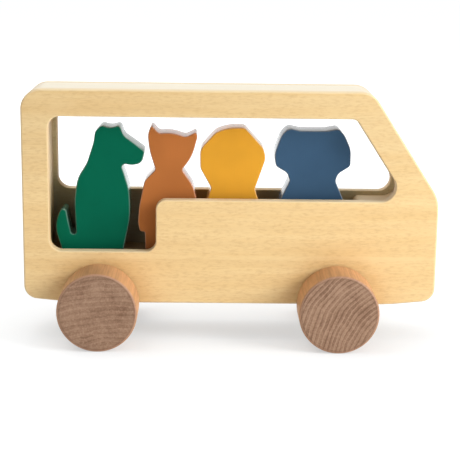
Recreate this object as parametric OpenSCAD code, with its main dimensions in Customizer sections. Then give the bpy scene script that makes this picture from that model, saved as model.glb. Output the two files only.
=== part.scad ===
// Wooden toy bus with four loose animal figures in its cabin.
// Sizes are in millimetres. X runs to the nose, Y runs from the doorway side to the plain side, Z is up.
// The origin is on the floor, under the middle of the bus.

/* [Body] */
// Length of the body from its rear end to its nose
body_l = 209; // [190:0.5:240]
// Height of the body from its underside to its roof
body_h = 108.5; // [100:0.5:130]
// Height of the upright part of the nose
nose_h = 55; // [40:0.5:70]
// Lean of the windscreen from upright, in degrees
windscreen_lean = 33.2; // [15:0.1:40]
// Corner radius between the rear end and the roof
roof_r = 10; // [2:0.5:12]
// Radius of the two lower corners
base_r = 7; // [2:0.5:12]
// Rise of the underside at its two ends
end_rise = 2.3; // [0.5:0.1:6]
// Length of the rising stretch of the underside at each end
end_l = 24; // [14:0.5:25]
// Radius where the underside starts to rise
end_r = 60; // [5:1:80]
// Corner radius between the roof and the windscreen
brow_r = 11; // [2:0.5:14]
// Corner radius between the windscreen and the nose
nose_r = 18; // [2:0.5:24]

/* [Layers] */
// Thickness of each side panel
panel_t = 6; // [4:0.5:10]
// Thickness of the boards between the side panels
core_t = 24; // [18:0.5:36]
// Step back of the floor, the ledge, the ceiling and the nose behind the window edges
core_setback = 2.3; // [0.5:0.1:4]
// Step back of the rear post behind the window edge
post_setback = 1.1; // [0.5:0.1:4]

/* [Windows] */
// Width of the panel around the windows
frame_w = 13.4; // [10:0.1:18]
// Width of the near panel along the windscreen
screen_w = 13.8; // [10:0.1:18]
// Height of the window sill above the underside
sill_h = 53.5; // [45:0.5:60]
// Height of the doorway sill above the underside
door_sill_h = 26.8; // [22:0.1:34]
// Length of the doorway
door_l = 53.4; // [30:0.1:70]
// Extra width of the far panel behind its window
far_extra = 1.1; // [0:0.1:4]
// Radius of the rear upper window corners and of the doorway's rear lower corner
window_r = 6; // [1:0.5:8]
// Radius of the near window's lower front corner at the sill
sill_r = 7.5; // [1:0.5:9]
// Radius of the far window's lower corners
far_sill_r = 6.5; // [1:0.5:9]
// Radius of the upper front window corners
pillar_r = 4; // [1:0.5:6]
// Radius of the step from the doorway up to the sill
step_r = 5; // [1:0.5:8]
// Radius of the doorway's lower front corner
door_r = 5.5; // [1:0.5:8]

/* [Dashboard] */
// Length of the solid nose ahead of the cabin
dash_l = 40; // [36:0.5:60]
// Radius of the dashboard's rear edge
dash_r = 2.5; // [0.5:0.5:5]

/* [Wheels] */
// Diameter of the wheels
wheel_d = 40; // [34:0.5:60]
// Thickness of the wheels
wheel_t = 21; // [14:0.5:30]
// Radius of the wheels' edges
wheel_edge_r = 1.2; // [0.4:0.1:3]
// Gap between a wheel and its side panel
wheel_gap = 0.8; // [0.4:0.1:2]
// Depth of the blind hole that takes the axle in each wheel
hub_depth = 14; // [6:0.5:20]

/* [Axles] */
// Diameter of the axles
axle_d = 8; // [5:0.5:10]
// Running clearance round an axle in its block
axle_play = 0.05; // [0.02:0.01:0.1]
// Height of the axles above the underside of the body
axle_rise = 0.7; // [0:0.1:4]
// Distance from the rear end to the rear axle
rear_axle_inset = 38.5; // [30:0.5:60]
// Distance from the nose to the front axle
front_axle_inset = 50.5; // [30:0.5:60]
// Clearance round an axle in the side panels
notch_gap = 0.6; // [0.3:0.1:2]
// Glue space at each end of an axle
glue_gap = 0.5; // [0.2:0.1:1]
// Length of the axle blocks along the bus
block_l = 26; // [18:0.5:34]
// Wood left round the hole of an axle block
block_wall = 5; // [3:0.5:7]
// Radius of the lower corners of the axle blocks
block_r = 4; // [0.5:0.5:6]

/* [Figures] */
// Thickness of the figures
figure_t = 15; // [8:0.5:17]
// Free height between the tallest figure and the cabin's ceiling
headroom = 8.5; // [2:0.5:20]
// Gap under the feet of a figure
stand_gap = 0.1; // [0.05:0.05:0.5]

/* [Hidden] */

// Colours of the wood and of the paint
panel_wood = "#ecd2a0";
core_wood = "#e3c690";
wheel_wood = "#b98e6c";
axle_wood = "#d9bd8d";

// Degrees of turn between two points of an arc
arc_step = 6;
// Overshoot of a cut past the face that it opens
cut = 1;

// Heights above the floor
axle_z = wheel_d / 2;
base_z = axle_z - axle_rise;
end_z = base_z + end_rise;
roof_z = base_z + body_h;
nose_z = base_z + nose_h;
sill_z = base_z + sill_h;
door_sill_z = base_z + door_sill_h;
window_top_z = roof_z - frame_w;
floor_z = door_sill_z - core_setback;
ledge_z = sill_z - core_setback;
ceiling_z = window_top_z + core_setback;
block_bottom_z = axle_z - axle_d / 2 - block_wall;
block_top_z = axle_z + axle_d / 2 + block_wall;

// Places along the bus
rear_x = -body_l / 2;
nose_x = body_l / 2;
window_rear_x = rear_x + frame_w;
far_rear_x = window_rear_x + far_extra;
door_front_x = window_rear_x + door_l;
cabin_rear_x = window_rear_x - post_setback;
dash_x = nose_x - dash_l;
rear_axle_x = rear_x + rear_axle_inset;
front_axle_x = nose_x - front_axle_inset;

// Places across the bus
core_y = core_t / 2;
side_y = core_y + panel_t;

// Room for the figures, and the cabin that their outlines are drawn for
cabin_l = dash_x - cabin_rear_x;
cabin_h = ceiling_z - floor_z;
drawn_cabin_l = 156.7;
drawn_figure_h = 64.4;
figure_kx = cabin_l / drawn_cabin_l;
figure_kz = (cabin_h - headroom) / drawn_figure_h;

// Front of the body, and of a line set in from it, at a height on the windscreen
function windscreen_x(z, inset = 0) =
    nose_x - (z - nose_z) * tan(windscreen_lean) - inset / cos(windscreen_lean);

function unit(v) = v / norm(v);

// Arc that rounds the corner p between its neighbours a and b; each point is [x, z, radius],
// and two rounded neighbours share the run between them
function corner(a, p, b) =
    let(
        at = [p.x, p.y],
        back = [a.x, a.y] - at,
        ahead = [b.x, b.y] - at,
        half = acos(unit(back) * unit(ahead)) / 2,
        back_room = norm(back) / (a.z > 0 ? 2 : 1),
        ahead_room = norm(ahead) / (b.z > 0 ? 2 : 1),
        reach = min(p.z / tan(half), back_room, ahead_room),
        radius = reach * tan(half),
        middle = at + unit(unit(back) + unit(ahead)) * radius / sin(half),
        from = at + unit(back) * reach - middle,
        turn = (180 - 2 * half) * sign(cross(-back, ahead)),
        steps = max(1, ceil(abs(turn) / arc_step))
    )
    radius < 0.01 ? [at] :
    [for (i = [0 : steps])
        let(t = turn * i / steps)
        middle + [from.x * cos(t) - from.y * sin(t), from.x * sin(t) + from.y * cos(t)]];

// Closed outline with a rounded corner at each point
function rounded(points) =
    [for (i = [0 : len(points) - 1])
        each corner(
            points[(i + len(points) - 1) % len(points)],
            points[i],
            points[(i + 1) % len(points)])];

// Outlines of the body and of its openings, seen from the doorway side

underside = [
    [rear_x, end_z, base_r],
    [rear_x + end_l, base_z, end_r],
    [nose_x - end_l, base_z, end_r],
    [nose_x, end_z, base_r]
];

body_outline = rounded(concat(underside, [
    [nose_x, nose_z, nose_r],
    [windscreen_x(roof_z), roof_z, brow_r],
    [rear_x, roof_z, roof_r]
]));

near_window = rounded([
    [window_rear_x, door_sill_z, window_r],
    [door_front_x, door_sill_z, door_r],
    [door_front_x, sill_z, step_r],
    [windscreen_x(sill_z, screen_w), sill_z, sill_r],
    [windscreen_x(window_top_z, screen_w), window_top_z, pillar_r],
    [window_rear_x, window_top_z, window_r]
]);

far_window = rounded([
    [far_rear_x, sill_z, far_sill_r],
    [windscreen_x(sill_z, frame_w), sill_z, far_sill_r],
    [windscreen_x(window_top_z, frame_w), window_top_z, pillar_r],
    [far_rear_x, window_top_z, window_r]
]);

floor_outline = rounded(concat(underside, [
    [nose_x, floor_z, 0],
    [rear_x, floor_z, 0]
]));

core_inset = frame_w - core_setback;

nose_outline = rounded([
    [dash_x, floor_z, 0],
    [nose_x, floor_z, 0],
    [nose_x, nose_z, nose_r],
    [windscreen_x(ceiling_z), ceiling_z, 0],
    [windscreen_x(ceiling_z, core_inset), ceiling_z, 0],
    [windscreen_x(ledge_z, core_inset), ledge_z, sill_r + core_setback],
    [dash_x, ledge_z, dash_r]
]);

post_outline = [
    [rear_x, floor_z],
    [cabin_rear_x, floor_z],
    [cabin_rear_x, ceiling_z],
    [rear_x, ceiling_z]
];

roof_outline = rounded([
    [rear_x, ceiling_z, 0],
    [windscreen_x(ceiling_z), ceiling_z, 0],
    [windscreen_x(roof_z), roof_z, brow_r],
    [rear_x, roof_z, roof_r]
]);

// Figures: the place of each along the drawn cabin, and its outline as [x, z, radius] from under its feet

dog_seat = 21.7;
dog_points = [
    [-15.5, 0, 2], [-19.4, 13, 16], [-14.2, 26.6, 2.5], [-12, 13.5, 24], [-10.9, 8.6, 1.6],
    [-8.2, 8.6, 1.4], [-9, 27, 40], [-7.2, 38, 16], [-2.6, 45, 18], [1, 56, 18],
    [1.8, 61.6, 4], [4.9, 64.8, 2.4], [9.6, 63.4, 8], [14.2, 65, 1.8], [16.2, 59.4, 6],
    [22, 55.4, 30], [26.8, 51.8, 1.8], [25.4, 45.6, 4.4], [20.2, 44.6, 8], [14.6, 45.6, 1.8],
    [18.8, 32, 24], [19.4, 18, 40], [15.6, 0, 1.5]
];

cat_seat = 60.7;
cat_points = [
    [-12, 0, 2], [-12.2, 10.1, 0.8], [-14.8, 10.4, 2.2], [-15.7, 15, 8], [-15, 24, 30],
    [-12.4, 36.6, 6], [-6.8, 42.4, 1.8],
    [-9.8, 52, 30], [-10.8, 60.6, 12], [-8.8, 65.2, 0.8], [-5.2, 61, 3], [1.5, 61.4, 20],
    [8.4, 59.1, 4], [13.6, 61.8, 0.9], [14.4, 59.4, 3], [11.8, 49.4, 24], [6.6, 42.4, 1.8],
    [12.2, 34.6, 16], [14.4, 26, 24], [15.7, 15, 8], [14.8, 10.4, 2.2], [12.2, 10.1, 0.8],
    [12, 0, 2]
];

lion_seat = 93;
lion_points = [
    [-12.5, 0, 2], [-15.4, 14, 12], [-13.6, 25, 14], [-10.8, 33.4, 1.8], [-16.4, 43.4, 5],
    [-16.6, 53, 7], [-8.6, 62, 9], [-2, 64.2, 20], [6, 64.2, 3], [15.4, 54, 6],
    [16.8, 49, 8], [11.4, 33, 2.2], [13.8, 25, 14], [15.4, 14, 12], [12.5, 0, 2]
];

elephant_seat = 133.5;
elephant_points = [
    [-14.5, 0, 2], [-17.8, 16, 14], [-16.4, 27, 14], [-11.4, 37.4, 2.6], [-12.8, 41.5, 4],
    [-18.6, 44.8, 3], [-19.6, 51, 14], [-16, 61, 14], [-12.4, 64.3, 4], [-6.4, 63, 10],
    [6.4, 63, 10], [12.8, 64.2, 2.6], [16, 60.6, 8], [19.2, 53.6, 12], [19.2, 45.2, 2.6],
    [13, 41.2, 5], [11.8, 37.4, 3.4], [16.4, 27, 14], [17.8, 16, 14], [14.5, 0, 2]
];

// Board with the outline of its children, lying across the bus from y onward
module board(y, thickness) {
    translate([0, y + thickness, 0])
        rotate([90, 0, 0])
            linear_extrude(thickness)
                children();
}

// Round hole or rod along Y, centred on the bus
module across(x, z, radius, length) {
    translate([x, 0, z])
        rotate([90, 0, 0])
            cylinder(r = radius, h = length, center = true, $fn = 96);
}

// Room that an axle needs in the lower edge of a side panel
module axle_notch(x) {
    radius = axle_d / 2 + notch_gap;
    translate([x, axle_z])
        circle(r = radius, $fn = 96);
    translate([x - radius, base_z - cut])
        square([2 * radius, axle_rise + cut]);
}

module side_panel(y, window) {
    color(panel_wood)
        board(y, panel_t)
            difference() {
                polygon(body_outline);
                polygon(window);
                axle_notch(rear_axle_x);
                axle_notch(front_axle_x);
            }
}

module near_side_panel() {
    side_panel(-side_y, near_window);
}

module far_side_panel() {
    side_panel(core_y, far_window);
}

// Seat of an axle block in the underside of the floor board
module block_seat(x) {
    translate([x - block_l / 2, base_z - cut])
        square([block_l, block_top_z - base_z + cut]);
}

module floor_board() {
    color(core_wood)
        board(-core_y, core_t)
            difference() {
                polygon(floor_outline);
                block_seat(rear_axle_x);
                block_seat(front_axle_x);
            }
}

module nose_block() {
    color(core_wood)
        board(-core_y, core_t)
            polygon(nose_outline);
}

module rear_post() {
    color(core_wood)
        board(-core_y, core_t)
            polygon(post_outline);
}

module roof_board() {
    color(core_wood)
        board(-core_y, core_t)
            polygon(roof_outline);
}

module axle_block(x) {
    color(core_wood)
        difference() {
            board(-core_y, core_t)
                polygon(rounded([
                    [x - block_l / 2, block_bottom_z, block_r],
                    [x + block_l / 2, block_bottom_z, block_r],
                    [x + block_l / 2, block_top_z, 0],
                    [x - block_l / 2, block_top_z, 0]
                ]));
            across(x, axle_z, axle_d / 2 + axle_play, core_t + 2 * cut);
        }
}

module axle(x) {
    color(axle_wood)
        across(x, axle_z, axle_d / 2, 2 * (side_y + wheel_gap + hub_depth - glue_gap));
}

// Solid wheel with rounded edges; side is -1 by the doorway panel and 1 by the plain panel
module wheel(x, side) {
    color(wheel_wood)
        translate([x, side * (side_y + wheel_gap), axle_z])
            rotate([-90 * side, 0, 0])
                difference() {
                    rotate_extrude($fn = 180)
                        polygon(rounded([
                            [0, 0, 0],
                            [wheel_d / 2, 0, wheel_edge_r],
                            [wheel_d / 2, wheel_t, wheel_edge_r],
                            [0, wheel_t, 0]
                        ]));
                    translate([0, 0, -cut])
                        cylinder(r = axle_d / 2, h = hub_depth + cut, $fn = 96);
                }
}

// Flat figure that stands on the cabin floor, fitted to the room in the cabin
module figure(seat, points) {
    x = cabin_rear_x + seat * figure_kx;
    z = floor_z + stand_gap;
    k = min(figure_kx, figure_kz);
    board(-figure_t / 2, figure_t)
        polygon(rounded([for (p = points) [x + p.x * figure_kx, z + p.y * figure_kz, p.z * k]]));
}

module green_dog() {
    color("#00664b")
        figure(dog_seat, dog_points);
}

module orange_cat() {
    color("#bc6e38")
        figure(cat_seat, cat_points);
}

module yellow_lion() {
    color("#e6a52e")
        figure(lion_seat, lion_points);
}

module blue_elephant() {
    color("#3e5a74")
        figure(elephant_seat, elephant_points);
}

near_side_panel();
far_side_panel();
floor_board();
nose_block();
rear_post();
roof_board();
axle_block(rear_axle_x);  // rear_axle_block
axle_block(front_axle_x);  // front_axle_block
axle(rear_axle_x);  // rear_axle
axle(front_axle_x);  // front_axle
wheel(rear_axle_x, -1);  // rear_near_wheel
wheel(rear_axle_x, 1);  // rear_far_wheel
wheel(front_axle_x, -1);  // front_near_wheel
wheel(front_axle_x, 1);  // front_far_wheel
green_dog();
orange_cat();
yellow_lion();
blue_elephant();
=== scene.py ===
"""Looks of a wooden toy bus: a layered pale body, turned wheels and four flat painted figures.

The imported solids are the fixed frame. Each sub-assembly is a class that makes its meshes from the
solids' own outlines, dresses them in a procedural finish and ties them to the body they move with.
Lengths are in metres, and in the finishes in millimetres.
"""

import logging
import math
from dataclasses import dataclass, field
from enum import Enum
from typing import Any, Union

import bmesh
import bpy
from mathutils import Matrix, Vector


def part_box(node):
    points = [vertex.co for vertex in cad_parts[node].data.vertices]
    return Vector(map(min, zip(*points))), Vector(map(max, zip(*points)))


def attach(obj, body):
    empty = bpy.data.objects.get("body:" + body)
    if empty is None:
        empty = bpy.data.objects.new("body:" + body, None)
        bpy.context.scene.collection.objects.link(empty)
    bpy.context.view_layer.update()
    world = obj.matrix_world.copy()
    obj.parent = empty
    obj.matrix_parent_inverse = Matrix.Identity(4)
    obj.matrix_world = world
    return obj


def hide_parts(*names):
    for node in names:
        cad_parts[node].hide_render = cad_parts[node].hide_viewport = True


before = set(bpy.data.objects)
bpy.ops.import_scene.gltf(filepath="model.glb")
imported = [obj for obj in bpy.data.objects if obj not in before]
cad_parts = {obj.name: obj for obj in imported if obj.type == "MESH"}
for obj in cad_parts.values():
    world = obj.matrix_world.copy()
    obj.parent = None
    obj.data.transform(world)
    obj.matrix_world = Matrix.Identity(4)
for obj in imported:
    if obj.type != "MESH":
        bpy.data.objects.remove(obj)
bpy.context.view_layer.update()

LOG = logging.getLogger("toy_bus")
MM = 0.001
WELD = 1e-6
ARC_STEPS = 6
SHARP_TURN = math.radians(40)
QUARTER_TURN = math.pi / 2
FAR_ABOVE = 1000.0

Colour = tuple[float, float, float]
Triple = tuple[float, float, float]
Span = tuple[float, float]
Value = Union[float, tuple, "Wire"]


def srgb(red: int, green: int, blue: int) -> Colour:
    """Turn a colour of 0 to 255 as a screen shows it into a linear one.

    Args:
        red: red share.
        green: green share.
        blue: blue share.

    Returns:
        The linear colour, from 0 to 1.
    """
    shares = (channel / 255 for channel in (red, green, blue))
    return tuple(s / 12.92 if s <= 0.04045 else ((s + 0.055) / 1.055) ** 2.4 for s in shares)


def scaled(colour: Colour, share: float) -> Colour:
    """Make a linear colour darker or lighter."""
    return tuple(share * channel for channel in colour)


def grey(level: float) -> tuple[float, float, float, float]:
    """Give an opaque grey."""
    return (level, level, level, 1.0)


@dataclass(frozen=True)
class Layer:
    """Noise in a finish, and what it does to the surface.

    Attributes:
        per_mm: changes in a millimetre along X, Y and Z.
        detail: number of finer layers in the noise.
        harsh: strength of those finer layers.
        rise: values of the noise between which the layer comes to show.
        depth: how strongly it shows in the colour.
        roughen: what it adds to the roughness.
        height: what it adds to the relief.
    """

    per_mm: Triple
    detail: float = 2.0
    harsh: float = 0.5
    rise: Span = (0.0, 1.0)
    depth: float = 1.0
    roughen: float = 0.0
    height: float = 0.0


class Wire:
    """Output of a node. Arithmetic on it adds Math nodes to the same tree."""

    def __init__(self, bench: "Bench", socket: bpy.types.NodeSocket) -> None:
        """Keep the bench and the socket."""
        self.bench = bench
        self.socket = socket

    def __add__(self, other: Value) -> "Wire":
        """Sum."""
        return self.bench.maths("ADD", self, other)

    __radd__ = __add__

    def __sub__(self, other: Value) -> "Wire":
        """Difference."""
        return self.bench.maths("SUBTRACT", self, other)

    def __rsub__(self, other: Value) -> "Wire":
        """Difference with a number on the left."""
        return self.bench.maths("SUBTRACT", other, self)

    def __mul__(self, other: Value) -> "Wire":
        """Product."""
        return self.bench.maths("MULTIPLY", self, other)

    __rmul__ = __mul__

    def __truediv__(self, other: Value) -> "Wire":
        """Quotient."""
        return self.bench.maths("DIVIDE", self, other)

    def __rtruediv__(self, other: Value) -> "Wire":
        """Quotient with a number on the left."""
        return self.bench.maths("DIVIDE", other, self)

    def __pow__(self, other: Value) -> "Wire":
        """Power."""
        return self.bench.maths("POWER", self, other)

    def __neg__(self) -> "Wire":
        """Negative."""
        return self.bench.maths("MULTIPLY", self, -1.0)

    @property
    def swing(self) -> "Wire":
        """Give a noise of 0 to 1 as its swing about the middle."""
        return self - 0.5


class Bench:
    """Node tree under construction, of a material or of a mesh."""

    def __init__(self, tree: bpy.types.NodeTree) -> None:
        """Keep the tree."""
        self.tree = tree

    def node(
        self,
        kind: str,
        settings: dict[str, Any] | None = None,
        sockets: dict[int | str, Value] | None = None,
        out: int | str = 0,
    ) -> Wire | None:
        """Add a node of any kind.

        Args:
            kind: the node's type.
            settings: its properties, set before its sockets; "items" is the number of choices of a switch.
            sockets: values or wires by the input's name or number.
            out: the output that is returned, by name or number.

        Returns:
            The wire of that output, or None from a node that has no outputs.
        """
        made = self.tree.nodes.new(kind)
        for name, value in (settings or {}).items():
            if name == "items":
                while len(made.index_switch_items) < value:
                    made.index_switch_items.new()
            else:
                setattr(made, name, value)
        for name, value in (sockets or {}).items():
            if isinstance(value, Wire):
                self.tree.links.new(value.socket, made.inputs[name])
            else:
                made.inputs[name].default_value = value
        return Wire(self, made.outputs[out]) if made.outputs else None

    def maths(self, operation: str, *values: Value) -> Wire:
        """Add one Math node."""
        return self.node("ShaderNodeMath", {"operation": operation}, dict(enumerate(values)))

    def clamp(self, value: Value) -> Wire:
        """Keep a value between 0 and 1."""
        return self.node("ShaderNodeClamp", {}, {0: value})

    def axis(self, at: Wire, letter: str) -> Wire:
        """Give one coordinate, by its letter."""
        return self.node("ShaderNodeSeparateXYZ", {}, {0: at}, out=letter)

    def gap(self, along: Wire, up: Wire) -> Wire:
        """Give the distance that two steps at right angles make."""
        return (along * along + up * up) ** 0.5

    def mix(self, share: Value, first: Value, second: Value, blend: str = "MIX") -> Wire:
        """Mix two colours.

        Args:
            share: how much of the second shows.
            first: colour at a share of 0.
            second: colour at a share of 1.
            blend: way of mixing.

        Returns:
            The mixed colour.
        """
        colours = [c if isinstance(c, Wire) else (*c, 1.0) for c in (first, second)]
        settings = {"data_type": "RGBA", "blend_type": blend}
        # The node's sockets 6 and 7 and its output 2 are the ones for colours.
        return self.node("ShaderNodeMix", settings, {0: share, 6: colours[0], 7: colours[1]}, out=2)

    def step(self, value: Value, low: float, high: float) -> Wire:
        """Rise smoothly from 0 at low to 1 at high."""
        settings = {"interpolation_type": "SMOOTHSTEP"}
        return self.node("ShaderNodeMapRange", settings, {0: value, 1: low, 2: high})

    def place(self, move: Triple = (0.0, 0.0, 0.0), turn: Triple = (0.0, 0.0, 0.0)) -> Wire:
        """Give the piece's own coordinates in millimetres.

        Args:
            move: shift of the pattern in millimetres.
            turn: turn of the pattern in radians.

        Returns:
            The coordinates.
        """
        own = self.node("ShaderNodeTexCoord", out="Object")
        scale = (1 / MM, 1 / MM, 1 / MM)
        sockets = {"Vector": own, "Location": move, "Rotation": turn, "Scale": scale}
        return self.node("ShaderNodeMapping", {}, sockets)

    def noise(self, at: Wire, layer: Layer) -> Wire:
        """Give the smooth noise of a layer.

        Args:
            at: coordinates in millimetres.
            layer: the layer.

        Returns:
            The noise, from 0 to 1.
        """
        stretched = self.node("ShaderNodeVectorMath", {"operation": "MULTIPLY"}, {0: at, 1: layer.per_mm})
        sockets = {"Vector": stretched, "Scale": 1.0, "Detail": layer.detail, "Roughness": layer.harsh}
        return self.node("ShaderNodeTexNoise", {}, sockets)

    def shown(self, noise: Wire, layer: Layer) -> Wire:
        """Give how strongly a layer shows where its noise has this value."""
        return layer.depth * self.step(noise, *layer.rise)

    def attribute(self, name: str) -> Wire:
        """Give a number that is kept on the piece's own points."""
        return self.node("ShaderNodeAttribute", {"attribute_name": name}, out="Fac")

    def surface(self, colour: Value, rough: Value, height: Wire, relief: float, **sheen: Value) -> None:
        """End a material in one shader.

        Args:
            colour: base colour.
            rough: roughness.
            height: height of the fine relief, from 0 to 1.
            relief: depth of that relief in metres.
            **sheen: values or wires of the shader's other sockets, with _ for a space.
        """
        bump = self.node("ShaderNodeBump", {}, {"Strength": 1.0, "Distance": relief, "Height": height})
        sockets = {"Base Color": colour, "Roughness": rough, "Normal": bump}
        sockets.update({name.replace("_", " "): value for name, value in sheen.items()})
        shader = self.node("ShaderNodeBsdfPrincipled", {}, sockets)
        self.node("ShaderNodeOutputMaterial", {}, {"Surface": shader})


def blank_material(name: str) -> tuple[bpy.types.Material, Bench]:
    """Start an empty material.

    Args:
        name: the material's name.

    Returns:
        The material and the bench of its tree.
    """
    material = bpy.data.materials.new(name)
    material.use_nodes = True
    material.node_tree.nodes.clear()
    return material, Bench(material.node_tree)


@dataclass(frozen=True)
class WoodTones:
    """Colours of a board: its face, warm bands, dark lines, sawn edge, arris, which is partly abraded and
    partly painted highlight, and the painted shade of its cabin side.
    """

    pale: Colour
    warm: Colour
    dark: Colour
    edge: Colour
    arris: Colour
    inside: Colour


class Cut(Enum):
    """Cuts of pale wood in the body."""

    PANEL = WoodTones(
        pale=srgb(250, 219, 162),
        warm=srgb(244, 208, 147),
        dark=srgb(218, 176, 120),
        edge=srgb(240, 223, 188),
        arris=srgb(246, 222, 178),
        inside=(0.3, 0.35, 0.42),
    )
    # The roof's edge tone, which colours its top, is paler than the other cuts': partly the pale sawn edge,
    # partly painted light on the top.
    ROOF = WoodTones(
        pale=srgb(243, 214, 166),
        warm=srgb(236, 202, 150),
        dark=srgb(210, 168, 114),
        edge=srgb(246, 240, 222),
        arris=srgb(247, 235, 209),
        inside=(0.8, 0.8, 0.78),
    )
    CORE = WoodTones(
        pale=srgb(238, 208, 158),
        warm=srgb(229, 193, 140),
        dark=srgb(203, 161, 108),
        edge=srgb(232, 212, 176),
        arris=srgb(240, 220, 182),
        inside=(0.8, 0.8, 0.78),
    )
    # The cabin floor: its edge and arris tones are a little darker than the core's, and its cabin tone
    # darkens its top; both are painted shade.
    FLOOR = WoodTones(
        pale=srgb(238, 208, 158),
        warm=srgb(229, 193, 140),
        dark=srgb(203, 161, 108),
        edge=srgb(228, 202, 158),
        arris=srgb(238, 214, 172),
        inside=(0.2, 0.21, 0.22),
    )


@dataclass(frozen=True)
class BoardWood:
    """Sanded pale wood with its grain along the bus, for the panels and the core boards."""

    name: str
    cut: Cut
    move: Triple
    turn: Triple
    shaded_from: float = FAR_ABOVE
    hubs: tuple[Span, ...] = ()
    ring: float = 9.0
    ring_sway: float = 9.0
    ring_drift: float = 1.6
    line_begins: Span = (0.5, 0.93)
    line_ends: Span = (0.94, 1.0)
    line_depth: float = 0.1
    streak: float = 43.2
    streak_sway: float = 2.4
    streak_edge: Span = (0.5, 1.6)
    streak_breaks: Span = (0.25, 0.6)
    streak_lift: float = 0.55
    top_shade: Colour = (0.92, 0.93, 0.95)
    top_rise: Span = (66.0, 110.0)
    hub_shade: Colour = (0.92, 0.88, 0.83)
    hub_rise: Span = (20.0, 30.0)
    cabin_glow: float = 2.5
    cabin_rise: Span = (68.0, 88.0)
    dashboard_glow: float = 0.9
    dashboard_rise: Span = (42.0, 58.0)
    shade_edge: Span = (0.4, 0.1)
    sawn_share: float = 0.85
    sawn_fibres: float = 0.6
    wear_and_highlight: float = 0.5
    wear_and_highlight_breaks: Span = (0.2, 0.5)
    wear_polish: float = 0.08
    end_shade: float = 0.6
    end_pores: float = 0.5
    roughness: float = 0.52
    relief: float = 0.04 * MM
    specular: float = 0.25

    SWAY = Layer((0.011, 0.04, 0.03))
    BANDS = Layer((0.006, 0.09, 0.15), 3.0, 0.55, rise=(0.3, 0.72), height=0.25)
    CLOUDS = Layer((0.05, 0.1, 0.12), 3.0, rise=(0.45, 0.75), depth=0.3)
    FIBRES = Layer((0.07, 1.7, 2.0), 4.0, 0.6, rise=(0.42, 0.75), depth=0.13, roughen=0.22, height=0.6)
    DASHES = Layer((0.28, 1.1, 1.1), 3.0, 0.65, rise=(0.42, 0.72), depth=0.42)
    PORES = Layer((0.4, 4.0, 4.4), 2.0, 0.6, rise=(0.6, 0.78), depth=0.22, roughen=0.1, height=-0.4)

    def _shaded(self, bench: Bench, colour: Wire, along: Wire, above: Wire) -> Wire:
        """Paint shade into a colour: darker along the top, round the wheels and in the cabin, where the
        shade is lighter high up and near the dashboard.

        Args:
            bench: the material's bench.
            colour: the wood's own colour.
            along: place along the bus in millimetres.
            above: height in millimetres.

        Returns:
            The darkened colour.
        """
        inside = self.cut.value.inside
        colour = bench.mix(bench.step(above, *self.top_rise), colour, self.top_shade, "MULTIPLY")
        for hub_x, hub_z in self.hubs:
            near_hub = 1 - bench.step(bench.gap(along - hub_x, above - hub_z), *self.hub_rise)
            colour = bench.mix(near_hub, colour, self.hub_shade, "MULTIPLY")
        near_dashboard = self.dashboard_glow * bench.step(along, *self.dashboard_rise)
        dim = (1 - bench.step(above, *self.cabin_rise)) * (1 - near_dashboard)
        # The cabin's painted shade is lighter high up and near the dashboard, where light comes in through
        # the windows.
        cabin = bench.mix(dim, scaled(inside, self.cabin_glow), inside)
        return bench.mix(bench.attribute("inside"), colour, cabin, "MULTIPLY")

    def material(self) -> bpy.types.Material:
        """Build the material: bands, growth lines, fibres, pores, painted shade, sawn edges and bright
        arrises, which are partly abraded and partly painted highlight.

        Returns:
            The material.
        """
        material, bench = blank_material(self.name)
        tones = self.cut.value
        at = bench.place(self.move, self.turn)
        own = bench.place()
        along = bench.axis(own, "X")
        above = bench.axis(own, "Z")
        layers = (self.SWAY, self.BANDS, self.CLOUDS, self.FIBRES, self.DASHES, self.PORES)
        sway, bands, clouds, fibres, dashes, pores = (bench.noise(at, layer) for layer in layers)
        fleck = bench.step(pores, *self.PORES.rise)
        climb = (bench.axis(at, "Z") + self.ring_sway * sway) / self.ring + self.ring_drift * bands
        year = bench.maths("FRACT", climb)
        line = bench.step(year, *self.line_begins) * (1 - bench.step(year, *self.line_ends))
        off_streak = bench.maths("ABSOLUTE", above - self.streak + self.streak_sway * sway.swing)
        streak = (1 - bench.step(off_streak, *self.streak_edge)) * bench.step(clouds, *self.streak_breaks)

        colour = bench.mix(bench.step(bands, *self.BANDS.rise), tones.pale, tones.warm)
        fibrous = (bench.shown(fibres, self.FIBRES), bench.shown(dashes, self.DASHES))
        for share in (self.line_depth * line, *fibrous, self.PORES.depth * fleck):
            colour = bench.mix(share, colour, tones.dark)
        colour = bench.mix(bench.shown(clouds, self.CLOUDS) + self.streak_lift * streak, colour, tones.pale)
        colour = self._shaded(bench, colour, along, above)

        sawn = bench.attribute("rim") * (self.sawn_share + self.sawn_fibres * fibres.swing)
        colour = bench.mix(sawn, colour, tones.edge)
        # The arrises turn paler in patches: partly abrasion, partly painted highlight.
        worn_and_highlit = bench.attribute("arris") * bench.step(clouds, *self.wear_and_highlight_breaks)
        colour = bench.mix(self.wear_and_highlight * worn_and_highlit, colour, tones.arris)
        # The top of the cabin floor board is darkened with the cabin tone: painted shade.
        low, high = (self.shaded_from - below for below in self.shade_edge)
        colour = bench.mix(bench.step(above, low, high), colour, tones.inside, "MULTIPLY")
        end_grain = bench.attribute("end") * (self.end_shade + self.end_pores * pores.swing)
        colour = bench.mix(end_grain, colour, tones.dark)

        rough = self.roughness + self.FIBRES.roughen * fibres.swing + self.PORES.roughen * fleck
        rough = rough - self.wear_polish * worn_and_highlit
        height = self.FIBRES.height * fibres + self.BANDS.height * bands + self.PORES.height * fleck
        bench.surface(colour, rough, height, self.relief, Specular_IOR_Level=self.specular)
        return material


@dataclass(frozen=True)
class TurnedTones:
    """Colours of a turned piece: light and dark rings, rim and chamfer."""

    light: Colour
    dark: Colour
    rim: Colour
    chamfer: Colour


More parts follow.
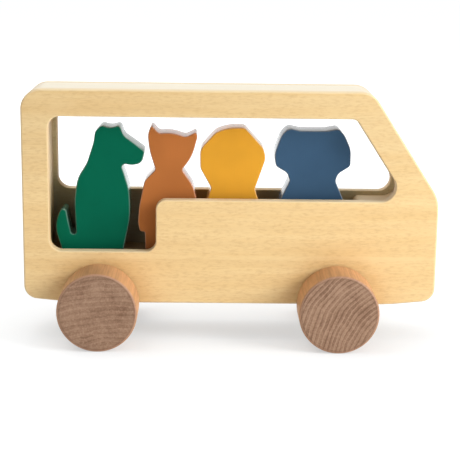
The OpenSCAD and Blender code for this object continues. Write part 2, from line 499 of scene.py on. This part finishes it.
class TurnedCut(Enum):
    """Woods of the turned pieces."""

    WHEEL = TurnedTones(
        light=srgb(177, 143, 117),
        dark=srgb(126, 93, 71),
        rim=srgb(208, 157, 111),
        chamfer=srgb(190, 146, 118),
    )
    AXLE = TurnedTones(
        light=srgb(226, 190, 140),
        dark=srgb(190, 148, 100),
        rim=srgb(226, 190, 140),
        chamfer=srgb(226, 190, 140),
    )


@dataclass(frozen=True)
class TurnedWood:
    """Turned wood whose grain runs along the axle: growth rings on the faces, long grain on the rim.

    The ring of painted shade, the chamfer and the rim begin and end at distances from the outside that are
    given in arrises.
    """

    name: str
    cut: TurnedCut
    centre: Vector
    radius: float
    arris: float
    pith: Span
    ring: float
    contrast: float
    ring_uneven: float = 5.5
    ring_least: float = 0.1
    ring_spread: float = 1.6
    ring_height: float = 0.12
    fine_rings: float = 2.3
    fine_sway: float = 6.0
    broad_share: float = 0.66
    rays_round: float = 60.0
    rays_out: float = 0.35
    speck_lift: float = 0.3
    face_share: float = 0.5
    shade_ring: Span = (1.7, 1.2)
    shade_ring_depth: float = 0.35
    chamfer: Span = (0.95, 0.6)
    chamfer_share: float = 0.6
    chamfer_specks: float = 1.1
    rim: Span = (0.3, 0.04)
    rim_share: float = 0.3
    rim_rings: float = 0.2
    rim_specks: float = 2.0
    rim_blotch: float = 0.6
    rim_deep: float = 0.68
    rim_polish: float = 0.1
    roughness: float = 0.6
    relief: float = 0.05 * MM
    specular: float = 0.3

    SWAY = Layer((0.13, 0.015, 0.13), 3.0, 0.6)
    UNEVEN = Layer((0.045, 0.01, 0.045), 1.0)
    STRENGTH = Layer((0.12, 0.02, 0.12), 3.0, 0.6)
    RAYS = Layer((1.0, 1.0, 1.0), 2.0, 0.6, rise=(0.56, 0.74), depth=0.3, height=-0.2)
    PORES = Layer((2.2, 0.05, 2.2), 3.0, 0.65, depth=1.0, roughen=0.15, height=0.5)
    SPECKS = Layer((0.9, 0.04, 0.9), 2.0, 0.6, rise=(0.62, 0.78), depth=0.9)
    BLOTCH = Layer((0.11, 0.03, 0.11), 3.0, 0.6, depth=1.3)

    def _near_outside(self, bench: Bench, hub_gap: Wire, arrises: Span) -> Wire:
        """Rise from 0 to 1 between two distances from the outside, given in arrises."""
        low, high = ((self.radius - share * self.arris) / MM for share in arrises)
        return bench.step(hub_gap, low, high)

    def material(self) -> bpy.types.Material:
        """Build the material: uneven rings round the pith, rays, pores, a dark ring of painted shade, a pale
        arris that is partly painted highlight, and an orange rim.

        Returns:
            The material.
        """
        material, bench = blank_material(self.name)
        tones = self.cut.value
        at = bench.place(tuple(-self.centre / MM))
        along = bench.axis(at, "X")
        up = bench.axis(at, "Z")
        hub_gap = bench.gap(along, up)
        east = along - self.pith[0]
        north = up - self.pith[1]
        pith_gap = bench.gap(east, north)
        layers = (self.SWAY, self.UNEVEN, self.STRENGTH, self.PORES, self.SPECKS, self.BLOTCH)
        sway, uneven, strength, pores, specks, blotch = (bench.noise(at, layer) for layer in layers)
        climb = (pith_gap + sway + self.ring_uneven * uneven) / self.ring
        wave = bench.maths("SINE", climb * math.tau)
        fine = bench.maths("SINE", climb * (self.fine_rings * math.tau) + self.fine_sway * sway)
        late = self.broad_share * wave + (1 - self.broad_share) * fine
        late = late * (self.ring_least + self.ring_spread * strength)
        bearing = bench.maths("ARCTAN2", north, east) * self.rays_round
        spokes = bench.node("ShaderNodeCombineXYZ", {}, {0: bearing, 1: pith_gap * self.rays_out, 2: 0.0})
        ray = bench.step(bench.noise(spokes, self.RAYS), *self.RAYS.rise)
        speck = bench.step(specks, *self.SPECKS.rise)
        on_arris = self._near_outside(bench, hub_gap, self.chamfer)
        on_rim = self._near_outside(bench, hub_gap, self.rim)
        in_shade_ring = self._near_outside(bench, hub_gap, self.shade_ring) * (1 - on_arris)

        share = self.face_share + self.contrast * late - self.RAYS.depth * ray - self.speck_lift * speck
        for layer, noise in ((self.PORES, pores), (self.SPECKS, specks), (self.BLOTCH, blotch)):
            share = share + layer.depth * noise.swing
        face = bench.mix(bench.clamp(share), tones.light, tones.dark)
        # A narrow dark ring just within the chamfer is painted shade; the turned section has no cut there.
        face = bench.mix(self.shade_ring_depth * in_shade_ring, face, tones.dark)
        # The pale chamfer is partly the wood's own tone and partly painted highlight.
        pale = on_arris * (self.chamfer_share + self.chamfer_specks * specks.swing)
        colour = bench.mix(pale, face, tones.chamfer)
        share = self.rim_share + self.rim_rings * late
        share = share + self.rim_specks * specks.swing + self.rim_blotch * blotch.swing
        rim = bench.mix(bench.clamp(share), tones.rim, scaled(tones.rim, self.rim_deep))
        colour = bench.mix(on_rim, colour, rim)

        rough = self.roughness - self.rim_polish * on_rim + self.PORES.roughen * pores.swing
        height = self.PORES.height * pores - self.ring_height * late * (1 - on_rim) + self.RAYS.height * ray
        bench.surface(colour, rough, height, self.relief, Specular_IOR_Level=self.specular)
        return material


@dataclass(frozen=True)
class FigurePaint:
    """Paint of a figure: matt on its flat faces, glossy on its sanded edges, and paler there, partly as
    abraded paint and partly as painted sheen.
    """

    name: str
    paint: Colour
    rubbed_and_sheen: Colour
    deep: float = 0.82
    rim_ragged: float = 0.2
    rim_rise: Span = (0.3, 0.7)
    rim_wear_and_sheen: float = 0.12
    rim_polish: float = 0.25
    rim_fill: float = 0.6
    grain_wear_and_sheen: float = 0.32
    arris_wear_and_sheen: float = 0.2
    wear_and_highlight_breaks: Span = (0.3, 0.6)
    roughness: float = 0.6
    relief: float = 0.03 * MM
    specular: float = 0.05
    coat_roughness: float = 0.16
    coat_ior: float = 1.5

    ROLLED = Layer((1.6, 1.6, 1.6), 3.0, 0.6, roughen=0.12, height=0.35)
    GRAIN = Layer((2.4, 0.5, 0.08), 3.0, 0.55, rise=(0.55, 0.75), depth=0.22, height=0.5)
    CLOUDS = Layer((0.05, 0.05, 0.05), rise=(0.35, 0.7), depth=0.45)

    def material(self) -> bpy.types.Material:
        """Build the material: rolled paint with a faint grain under it, and a gloss on the edges.

        Returns:
            The material.
        """
        material, bench = blank_material(self.name)
        at = bench.place()
        layers = (self.ROLLED, self.GRAIN, self.CLOUDS)
        rolled, grain, clouds = (bench.noise(at, layer) for layer in layers)
        deep = scaled(self.paint, self.deep)
        paint = bench.mix(bench.shown(clouds, self.CLOUDS), self.paint, deep)
        paint = bench.mix(bench.shown(grain, self.GRAIN), paint, deep)
        rim = bench.step(bench.attribute("rim") + self.rim_ragged * rolled.swing, *self.rim_rise)
        worn_and_highlit = bench.attribute("arris") * bench.step(clouds, *self.wear_and_highlight_breaks)
        # The edges are mixed towards a paler tone: partly abraded paint, partly painted sheen.
        thin_and_sheen = rim * (self.rim_wear_and_sheen + self.grain_wear_and_sheen * grain.swing) + self.arris_wear_and_sheen * worn_and_highlit
        colour = bench.mix(bench.clamp(thin_and_sheen), paint, self.rubbed_and_sheen)
        rough = self.roughness + self.ROLLED.roughen * rolled.swing - self.rim_polish * rim
        height = self.ROLLED.height * rolled + self.GRAIN.height * grain * (1 - self.rim_fill * rim)
        coat = {"Coat_Weight": rim, "Coat_Roughness": self.coat_roughness, "Coat_IOR": self.coat_ior}
        bench.surface(colour, rough, height, self.relief, Specular_IOR_Level=self.specular, **coat)
        return material


class Side(Enum):
    """Sides of the bus, with their direction along Y."""

    NEAR = -1
    FAR = 1


class End(Enum):
    """Ends of the bus, with their word in the names of the solids."""

    REAR = "rear"
    FRONT = "front"


def pairs(loop: list[Any]) -> list[tuple[Any, Any]]:
    """Pair each item of a closed loop with the next."""
    return list(zip(loop, loop[1:] + loop[:1]))


def loop_area(loop: list[Vector]) -> float:
    """Give the signed area of a loop, positive where it runs anticlockwise."""
    return sum(a.x * b.y - b.x * a.y for a, b in pairs(loop)) / 2


def mitres(loop: list[Vector]) -> list[Vector]:
    """Give at each point of a loop the step that moves both of its edges out by one unit.

    Args:
        loop: points with the wood on their left.

    Returns:
        One step for each point.
    """
    runs = [(b - a).normalized() for a, b in pairs(loop)]
    outward = [Vector((run.y, -run.x)) for run in runs]
    return [(a + b) / (1 + a.dot(b)) for a, b in zip(outward[-1:] + outward[:-1], outward)]


def finished_piece(name: str, shape: bmesh.types.BMesh) -> bpy.types.Object:
    """Turn a shape into an object at the origin with smooth curves and crisp corners.

    Args:
        name: the piece's name.
        shape: its mesh, which is freed.

    Returns:
        The new object.
    """
    mesh = bpy.data.meshes.new(name)
    shape.to_mesh(mesh)
    shape.free()
    mesh.shade_smooth()
    mesh.set_sharp_from_angle(angle=SHARP_TURN)
    piece = bpy.data.objects.new(name, mesh)
    bpy.context.scene.collection.objects.link(piece)
    return piece


def fit_out(piece: bpy.types.Object, material: bpy.types.Material, body: str, node: str) -> None:
    """Give a piece its finish and tie it to the frame.

    Args:
        piece: the finished mesh object.
        material: its material.
        body: the body that it moves with.
        node: the solid that it stands for.
    """
    piece.data.materials.clear()
    piece.data.materials.append(material)
    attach(piece, body)
    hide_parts(node)
    LOG.info("%s stands for %s on %s, %d faces", piece.name, node, body, len(piece.data.polygons))


@dataclass(frozen=True)
class Arris:
    """Rounding of a board's edge on its outer and on its inner face."""

    outer: float
    inner: float


@dataclass(frozen=True)
class Station:
    """One ring of points on a board's rounded edge, with the marks that its finish reads."""

    inset: float
    y: float
    arris: float
    rim: float
    inside: float


@dataclass
class FlatBoard:
    """Flat board across the bus, with the outline of its solid and rounded arrises."""

    node: str
    body: str
    slot: str
    edge: Arris
    hole_edge: Arris
    outer_side: Side = Side.NEAR
    support: float = 0.06 * MM
    piece: bpy.types.Object | None = field(default=None, init=False)

    # The inner face's mark tells the finish where to paint the cabin's shade.
    MARKS = ("arris", "rim", "end", "inside")

    def loops(self) -> list[list[Vector]]:
        """Read the closed loops round the solid's front face.

        Returns:
            The loops as X and Z points with the wood on their left, the outer loop first.
        """
        solid = bmesh.new()
        solid.from_mesh(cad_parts[self.node].data)
        bmesh.ops.remove_doubles(solid, verts=solid.verts, dist=WELD)
        front = min(v.co.y for v in solid.verts)
        flat = {f for f in solid.faces if all(abs(v.co.y - front) < WELD for v in f.verts)}
        rim = {e for e in solid.edges if sum(f in flat for f in e.link_faces) == 1}
        found = []
        while rim:
            edge = rim.pop()
            chain = list(edge.verts)
            while edge:
                edge = next((e for e in chain[-1].link_edges if e in rim), None)
                if edge:
                    rim.discard(edge)
                    chain.append(edge.other_vert(chain[-1]))
            found.append([Vector((v.co.x, v.co.z)) for v in chain[:-1]])
        solid.free()
        found.sort(key=lambda loop: -abs(loop_area(loop)))
        return [loop if (loop_area(loop) > 0) == (i == 0) else loop[::-1] for i, loop in enumerate(found)]

    def stations(self, edge: Arris) -> list[Station]:
        """Place the rings of a rounded edge from the outer face to the inner one.

        Args:
            edge: the rounding of that edge.

        Returns:
            The rings in order.
        """
        low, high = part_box(self.node)
        outer, inner = (low.y, high.y) if self.outer_side is Side.NEAR else (high.y, low.y)
        out = self.outer_side.value
        turns = [QUARTER_TURN * i / ARC_STEPS for i in range(ARC_STEPS + 1)]
        rings = []
        for y, towards, radius in ((outer, -out, edge.outer), (inner, out, edge.inner)):
            # The inner face is marked for the cabin's painted shade.
            inside = float(y == inner)
            side = [Station(inset=radius + self.support, y=y, arris=0.0, rim=0.0, inside=inside)]
            for turn in turns:
                inset = radius * (1 - math.sin(turn))
                depth = y + towards * radius * (1 - math.cos(turn))
                on_rim = turn / QUARTER_TURN
                side.append(Station(inset, depth, math.sin(2 * turn), on_rim, inside * (1 - on_rim)))
            rings.extend(side if y == outer else side[::-1])
        return rings

    def _wall(self, shape: bmesh.types.BMesh, loop: list[Vector], edge: Arris) -> tuple[list, list]:
        """Make the rounded wall along one loop.

        Args:
            shape: the board's mesh.
            loop: points of the outline with the wood on their left.
            edge: the rounding of the wall's arrises.

        Returns:
            The wall's rings of points on the outer and on the inner face.
        """
        corners = mitres(loop)
        layers = [shape.verts.layers.float[mark] for mark in self.MARKS]
        rings = []
        for station in self.stations(edge):
            ring = []
            for point, corner in zip(loop, corners):
                at = point - corner * station.inset
                vert = shape.verts.new((at.x, station.y, at.y))
                end = station.rim * abs(corner.normalized().x)
                for layer, mark in zip(layers, (station.arris, station.rim, end, station.inside)):
                    vert[layer] = mark
                ring.append(vert)
            rings.append(ring)
        for ring, after in zip(rings, rings[1:]):
            for (a, b), (d, c) in zip(pairs(ring), pairs(after)):
                shape.faces.new((a, b, c, d))
        return rings[0], rings[-1]

    def build(self) -> None:
        """Make the board's mesh."""
        shape = bmesh.new()
        for mark in self.MARKS:
            shape.verts.layers.float.new(mark)
        faces = ([], [])
        for i, loop in enumerate(self.loops()):
            rings = self._wall(shape, loop, self.hole_edge if i else self.edge)
            for edges, ring in zip(faces, rings):
                edges.extend(shape.edges.get(pair) for pair in pairs(ring))
        for edges in faces:
            bmesh.ops.triangle_fill(shape, use_beauty=True, edges=edges)
        bmesh.ops.recalc_face_normals(shape, faces=shape.faces)
        self.piece = finished_piece(self.node + "_board", shape)

    def dress(self, material: bpy.types.Material) -> None:
        """Give the board its finish and tie it to its body."""
        fit_out(self.piece, material, self.body, self.node)


class Section(Enum):
    """Half sections that a turned piece can have."""

    WHEEL = "wheel with a blind hole in its inner face"
    DOWEL = "plain dowel with eased ends"


@dataclass(frozen=True)
class SectionPoint:
    """Corner of a half section: distance from the axis, height along it, and rounding."""

    out: Value
    up: Value
    round: Value = 0.0


class Lathe:
    """Node tree that turns a half section round an axis."""

    SIZES = ("Radius", "Length", "Arris", "Hole Radius", "Hole Depth")
    INPUTS = dict.fromkeys(SIZES, "Float") | {
        "Place": "Vector",
        "Turn": "Vector",
        "Steps": "Int",
        "Finish": "Material",
    }
    ARRIS_ROOM = 1.5

    def __init__(self, section: Section) -> None:
        """Build the tree for one kind of section.

        Args:
            section: the half section that the tree turns.
        """
        self.tree = bpy.data.node_groups.new("turned_" + section.name.lower(), "GeometryNodeTree")
        face = self.tree.interface
        self.inputs = {}
        for name, kind in self.INPUTS.items():
            self.inputs[name] = face.new_socket(name, in_out="INPUT", socket_type="NodeSocket" + kind)
        face.new_socket("Geometry", in_out="OUTPUT", socket_type="NodeSocketGeometry")
        self.bench = Bench(self.tree)
        entry = self.tree.nodes.new("NodeGroupInput")
        self.given = {name: Wire(self.bench, entry.outputs[name]) for name in self.inputs}
        self._turn(self._section(self._corners(section)))

    def _corners(self, section: Section) -> list[SectionPoint]:
        """List the corners of a half section.

        Args:
            section: the kind of section.

        Returns:
            The corners from the axis at the inner end to the axis at the outer end.
        """
        radius, length, arris, hole, depth = (self.given[size] for size in self.SIZES)
        room = self.ARRIS_ROOM * arris
        body = [
            SectionPoint(radius - room, 0.0),
            SectionPoint(radius, 0.0, arris),
            SectionPoint(radius, room),
            SectionPoint(radius, length - room),
            SectionPoint(radius, length, arris),
            SectionPoint(radius - room, length),
            SectionPoint(0.0, length),
        ]
        if section is Section.DOWEL:
            return [SectionPoint(0.0, 0.0), *body]
        return [SectionPoint(0.0, depth), SectionPoint(hole, depth), SectionPoint(hole, 0.0), *body]

    def _section(self, corners: list[SectionPoint]) -> Wire:
        """Draw the half section as a curve with rounded corners.

        Args:
            corners: the section's corners.

        Returns:
            The curve, measured from the rim inwards.
        """
        bench = self.bench
        index = bench.node("GeometryNodeInputIndex")
        places = {"Index": index}
        rounds = {"Index": index}
        for i, corner in enumerate(corners, start=1):
            out = corner.out - self.given["Radius"]
            places[i] = bench.node("ShaderNodeCombineXYZ", {}, {0: out, 1: -corner.up, 2: 0.0})
            rounds[i] = corner.round
        line = bench.node("GeometryNodeMeshLine", {"count_mode": "TOTAL"}, {"Count": len(corners)})
        line = bench.node("GeometryNodeMeshToCurve", {}, {0: line})
        where = bench.node("GeometryNodeIndexSwitch", {"data_type": "VECTOR", "items": len(corners)}, places)
        line = bench.node("GeometryNodeSetPosition", {}, {"Geometry": line, "Position": where})
        radius = bench.node("GeometryNodeIndexSwitch", {"data_type": "FLOAT", "items": len(corners)}, rounds)
        sockets = {"Curve": line, "Count": ARC_STEPS, "Radius": radius}
        return bench.node("GeometryNodeFilletCurve", {"mode": "POLY"}, sockets)

    def _turn(self, curve: Wire) -> None:
        """Sweep the section round the axis, close it at the axis and put it in its place.

        Args:
            curve: the half section.
        """
        bench, given = self.bench, self.given
        sockets = {"Resolution": given["Steps"], "Radius": given["Radius"]}
        circle = bench.node("GeometryNodeCurvePrimitiveCircle", {}, sockets)
        circle = bench.node("GeometryNodeSetCurveNormal", {"mode": "Z_UP"}, {"Curve": circle})
        swept = bench.node("GeometryNodeCurveToMesh", {}, {"Curve": circle, "Profile Curve": curve})
        closed = bench.node("GeometryNodeMergeByDistance", {}, {"Geometry": swept, "Distance": WELD})
        sockets = {"Geometry": closed, "Translation": given["Place"], "Rotation": given["Turn"]}
        placed = bench.node("GeometryNodeTransform", {}, sockets)
        real = bench.node("GeometryNodeRealizeInstances", {}, {0: placed})
        dressed = bench.node("GeometryNodeSetMaterial", {}, {"Geometry": real, "Material": given["Finish"]})
        bench.node("NodeGroupOutput", {}, {0: dressed})

    def turn(self, name: str, sizes: dict[str, Any]) -> bpy.types.Object:
        """Turn one piece and bake it to a plain mesh.

        Args:
            name: the piece's name.
            sizes: values for the named inputs of the tree.

        Returns:
            The piece, at the origin.
        """
        host = bpy.data.objects.new(name + "_blank", bpy.data.meshes.new(name + "_blank"))
        bpy.context.scene.collection.objects.link(host)
        modifier = host.modifiers.new("lathe", "NODES")
        modifier.node_group = self.tree
        for label, value in sizes.items():
            modifier[self.inputs[label].identifier] = value
        depsgraph = bpy.context.evaluated_depsgraph_get()
        turned = bpy.data.meshes.new_from_object(host.evaluated_get(depsgraph), depsgraph=depsgraph)
        bpy.data.objects.remove(host)
        shape = bmesh.new()
        shape.from_mesh(turned)
        bmesh.ops.remove_doubles(shape, verts=shape.verts, dist=WELD)
        bmesh.ops.recalc_face_normals(shape, faces=shape.faces)
        bpy.data.meshes.remove(turned)
        return finished_piece(name, shape)


@dataclass
class BusBody:
    """Glued-up body: two side panels, the boards of the core between them, and the axle blocks."""

    panel_edge: Arris = Arris(outer=1.0 * MM, inner=0.12 * MM)
    window_edge: Arris = Arris(outer=0.7 * MM, inner=0.5 * MM)
    core_edge: Arris = Arris(outer=0.12 * MM, inner=0.12 * MM)
    cut_spacing: Triple = (310.0, 37.0, 53.0)
    grain_tilt: float = math.radians(0.5)
    boards: list[FlatBoard] = field(default_factory=list)

    CORE = ("floor_board", "nose_block", "rear_post", "roof_board", "rear_axle_block", "front_axle_block")
    BODY = "body_shell"
    CUTS = {
        "near_side_panel": Cut.PANEL,
        "far_side_panel": Cut.PANEL,
        "roof_board": Cut.ROOF,
        "floor_board": Cut.FLOOR,
    }

    def build(self) -> None:
        """Make the panels and the core boards."""
        for side in Side:
            node = side.name.lower() + "_side_panel"
            panel = FlatBoard(node, self.BODY, "panel_wood", self.panel_edge, self.window_edge, side)
            self.boards.append(panel)
        for node in self.CORE:
            self.boards.append(FlatBoard(node, self.BODY, "core_wood", self.core_edge, self.core_edge))
        for board in self.boards:
            board.build()

    def dress(self) -> None:
        """Give each board its own cut of pale wood."""
        wheels = [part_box(end.value + "_near_wheel") for end in End]
        hubs = tuple(((low.x + high.x) / 2 / MM, (low.z + high.z) / 2 / MM) for low, high in wheels)
        for i, board in enumerate(self.boards):
            cut = self.CUTS.get(board.node, Cut.CORE)
            finish = BoardWood(
                name=board.node + "_wood",
                cut=cut,
                move=scaled(self.cut_spacing, i),
                turn=(0.0, self.grain_tilt, 0.0),
                shaded_from=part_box(board.node)[1].z / MM if cut is Cut.FLOOR else FAR_ABOVE,
                hubs=hubs if cut is Cut.PANEL else (),
            )
            board.dress(finish.material())


@dataclass
class Wheelset:
    """Axle with the two wheels that are glued to it."""

    end: End
    lathe: dict[Section, Lathe]
    pith: Span
    ring: float
    contrast: float
    arris: float = 1.2 * MM
    dowel_arris: float = 0.5 * MM
    hole_spare: float = 0.5 * MM
    steps: int = 160
    pieces: dict[str, bpy.types.Object] = field(default_factory=dict)
    woods: dict[str, bpy.types.Material] = field(default_factory=dict)

    def _turn(self, node: str, section: Section, side: Side, hole: dict[str, float]) -> None:
        """Turn one piece of the size of its solid, in its own wood.

        Args:
            node: the solid that it stands for.
            section: its kind of half section.
            side: the side that its outer end faces.
            hole: sizes of the hole in its inner end.
        """
        low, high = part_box(node)
        centre = (low + high) / 2
        inner = high.y if side is Side.NEAR else low.y
        wheel = section is Section.WHEEL
        finish = TurnedWood(
            name=node + "_wood",
            cut=TurnedCut.WHEEL if wheel else TurnedCut.AXLE,
            centre=centre,
            radius=(high.z - low.z) / 2,
            arris=self.arris if wheel else self.dowel_arris,
            pith=self.pith,
            ring=self.ring,
            contrast=self.contrast,
        )
        self.woods[node] = finish.material()
        sizes = {
            "Radius": finish.radius,
            "Length": high.y - low.y,
            "Arris": finish.arris,
            "Place": (centre.x, inner, centre.z),
            "Turn": (-side.value * QUARTER_TURN, 0.0, 0.0),
            "Steps": self.steps if wheel else self.steps // 2,
            "Finish": self.woods[node],
        }
        name = node + ("_turned" if wheel else "_dowel")
        self.pieces[node] = self.lathe[section].turn(name, sizes | hole)

    def build(self) -> None:
        """Turn the axle and both wheels."""
        axle = self.end.value + "_axle"
        self._turn(axle, Section.DOWEL, Side.FAR, {})
        low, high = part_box(axle)
        for side in Side:
            node = f"{self.end.value}_{side.name.lower()}_wheel"
            inner = min(abs(corner.y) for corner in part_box(node))
            depth = high.y - inner + self.hole_spare
            hole = {"Hole Radius": (high.z - low.z) / 2, "Hole Depth": depth}
            self._turn(node, Section.WHEEL, side, hole)

    def dress(self) -> None:
        """Give each turned piece its wood and tie it to the wheelset."""
        for node, piece in self.pieces.items():
            fit_out(piece, self.woods[node], self.end.value + "_wheelset", node)


@dataclass(frozen=True)
class FigureLook:
    """Solid, body and slot of a figure, its paint, and the paler tone of its edges, partly abraded paint and
    partly painted sheen.
    """

    node: str
    body: str
    slot: str
    paint: Colour
    rubbed_and_sheen: Colour


class Animal(Enum):
    """Figures in the cabin."""

    # The second colour of each figure is the pale tone of its edges: partly abraded paint, partly painted
    # sheen.
    DOG = FigureLook("green_dog", "dog", "green_paint", srgb(3, 103, 77), srgb(206, 214, 214))
    CAT = FigureLook("orange_cat", "cat", "orange_paint", srgb(193, 118, 62), srgb(226, 208, 200))
    LION = FigureLook("yellow_lion", "lion", "yellow_paint", srgb(237, 170, 54), srgb(230, 212, 202))
    ELEPHANT = FigureLook("blue_elephant", "elephant", "blue_paint", srgb(64, 94, 123), srgb(208, 213, 218))


@dataclass
class AnimalFigure:
    """Flat figure that stands loose in the cabin."""

    animal: Animal
    edge: Arris = Arris(outer=0.6 * MM, inner=0.6 * MM)
    board: FlatBoard | None = field(default=None, init=False)

    def build(self) -> None:
        """Make the figure's board."""
        look = self.animal.value
        self.board = FlatBoard(look.node, look.body, look.slot, self.edge, self.edge)
        self.board.build()

    def dress(self) -> None:
        """Paint the figure."""
        look = self.animal.value
        finish = FigurePaint(look.node + "_paint", look.paint, look.rubbed_and_sheen)
        self.board.dress(finish.material())


@dataclass(frozen=True)
class Lamp:
    """Square soft lamp that faces the bus."""

    name: str
    place: Triple
    size: float
    watts: float
    aim: Triple = (0.0, 0.0, 0.06)
    in_gloss: bool = True

    def hang(self) -> None:
        """Hang the lamp, unseen by the camera."""
        light = bpy.data.lights.new(self.name, "AREA")
        light.size = self.size
        light.energy = self.watts
        lamp = bpy.data.objects.new(self.name, light)
        bpy.context.scene.collection.objects.link(lamp)
        lamp.location = self.place
        ahead = Vector(self.aim) - Vector(self.place)
        lamp.rotation_euler = ahead.to_track_quat("-Z", "Y").to_euler()
        lamp.visible_camera = False
        lamp.visible_glossy = self.in_gloss


@dataclass
class Studio:
    """Pale floor, soft light and the camera."""

    floor_size: float = 12.0
    floor_shade: float = 0.36
    floor_lift: float = 0.82
    floor_tint: Colour = (0.975, 0.992, 1.0)
    floor_fade: Span = (0.2, 0.5)
    floor_bounce: float = 0.85
    contact_shade: float = 0.42
    contact_reach: float = 0.07
    contact_samples: int = 16
    sky: float = 0.05
    lens: float = 102.06
    sensor: float = 36.0
    clip: Span = (0.01, 100.0)
    eye: Triple = (-0.01139, -0.65786, 0.20523)
    down: float = math.radians(12.97)
    yaw: float = math.radians(0.99)
    roll: float = math.radians(0.75)
    lamps: tuple[Lamp, ...] = (
        Lamp("key", (0.90, -0.42, 0.52), size=0.5, watts=10.9),
        Lamp("right_fill", (0.62, -0.89, 0.21), size=0.5, watts=2.2),
        Lamp("left_fill", (-0.54, -0.94, 0.21), size=0.5, watts=1.8),
        Lamp("overhead", (-0.45, 0.08, 1.0), size=0.7, watts=4.4),
        Lamp("back", (0.0, 0.6, 0.95), size=0.6, watts=2.2, in_gloss=False),
        Lamp("rear_fill", (-0.35, 1.0, 0.4), size=0.6, watts=3.6, in_gloss=False),
    )

    @staticmethod
    def _seen(bench: Bench) -> Wire:
        """Tell rays that show a backdrop from rays that only carry its light.

        Args:
            bench: the bench of the floor or of the world.

        Returns:
            1 on rays from the camera, or seen in gloss or through glass, and 0 on others.
        """
        kinds = ("Camera", "Glossy", "Transmission")
        camera, gloss, glass = (bench.node("ShaderNodeLightPath", out=f"Is {kind} Ray") for kind in kinds)
        return bench.clamp(camera + gloss + glass)

    def _floor_white(self) -> bpy.types.Material:
        """Make the floor's finish, which keeps the shadow and turns white away from the bus.

        Returns:
            The material.
        """
        material, bench = blank_material("floor_white")
        here = bench.node("ShaderNodeTexCoord", out="Object")
        away = bench.node("ShaderNodeVectorMath", {"operation": "LENGTH"}, {0: here}, out="Value")
        settings = {"samples": self.contact_samples}
        sockets = {"Distance": self.contact_reach}
        open_air = bench.node("ShaderNodeAmbientOcclusion", settings, sockets, out="AO")
        lift = self.floor_lift + (1 - self.floor_lift) * bench.step(away, *self.floor_fade)
        lift = lift * (1 - self.contact_shade * (1 - open_air))
        shade = bench.node("ShaderNodeBsdfDiffuse", {}, {"Color": grey(self.floor_shade)})
        glow = bench.node("ShaderNodeEmission", {}, {"Color": (*self.floor_tint, 1.0), "Strength": lift})
        shown = bench.node("ShaderNodeAddShader", {}, {0: shade, 1: glow})
        bounce = bench.node("ShaderNodeBsdfDiffuse", {}, {"Color": grey(self.floor_bounce)})
        both = bench.node("ShaderNodeMixShader", {}, {0: self._seen(bench), 1: bounce, 2: shown})
        bench.node("ShaderNodeOutputMaterial", {}, {"Surface": both})
        return material

    def build_floor(self) -> None:
        """Lay the floor."""
        half = self.floor_size / 2
        corners = [(-half, -half, 0), (half, -half, 0), (half, half, 0), (-half, half, 0)]
        mesh = bpy.data.meshes.new("floor")
        mesh.from_pydata(corners, [], [(0, 1, 2, 3)])
        mesh.materials.append(self._floor_white())
        floor = bpy.data.objects.new("floor", mesh)
        bpy.context.scene.collection.objects.link(floor)

    def build_sky(self) -> None:
        """Light the world evenly, white to the camera."""
        world = bpy.data.worlds.new("studio")
        bpy.context.scene.world = world
        world.use_nodes = True
        world.node_tree.nodes.clear()
        bench = Bench(world.node_tree)
        strength = self.sky + (1.0 - self.sky) * self._seen(bench)
        glow = bench.node("ShaderNodeBackground", {}, {"Color": grey(1.0), "Strength": strength})
        bench.node("ShaderNodeOutputWorld", {}, {"Surface": glow})

    def build_camera(self) -> None:
        """Stand the camera where the photograph was taken from."""
        level = Vector((math.cos(self.yaw), -math.sin(self.yaw), 0.0))
        forward = Vector((math.sin(self.yaw), math.cos(self.yaw), 0.0))
        ahead = math.cos(self.down) * forward - math.sin(self.down) * Vector((0.0, 0.0, 1.0))
        upright = level.cross(ahead)
        right = math.cos(self.roll) * level + math.sin(self.roll) * upright
        up = math.cos(self.roll) * upright - math.sin(self.roll) * level
        data = bpy.data.cameras.new("camera")
        data.lens = self.lens
        data.sensor_width = self.sensor
        data.clip_start, data.clip_end = self.clip
        camera = bpy.data.objects.new("camera", data)
        bpy.context.scene.collection.objects.link(camera)
        turn = Matrix((right, up, -ahead)).transposed()
        camera.matrix_world = Matrix.Translation(self.eye) @ turn.to_4x4()
        bpy.context.scene.camera = camera

    def build(self) -> None:
        """Set up the whole studio."""
        bpy.context.scene.view_settings.view_transform = "Standard"
        self.build_camera()
        self.build_floor()
        self.build_sky()
        for lamp in self.lamps:
            lamp.hang()


def main() -> None:
    """Build the studio and the bus piece by piece; each piece is logged as it is fitted out."""
    logging.basicConfig(level=logging.INFO, format="%(message)s")
    Studio().build()
    lathe = {section: Lathe(section) for section in Section}
    rear = Wheelset(End.REAR, lathe, pith=(12.0, -100.0), ring=3.0, contrast=0.22)
    front = Wheelset(End.FRONT, lathe, pith=(38.0, -24.0), ring=2.35, contrast=0.46)
    figures = [AnimalFigure(animal) for animal in Animal]
    for assembly in (BusBody(), rear, front, *figures):
        assembly.build()
        assembly.dress()


if __name__ == "__main__":
    main()
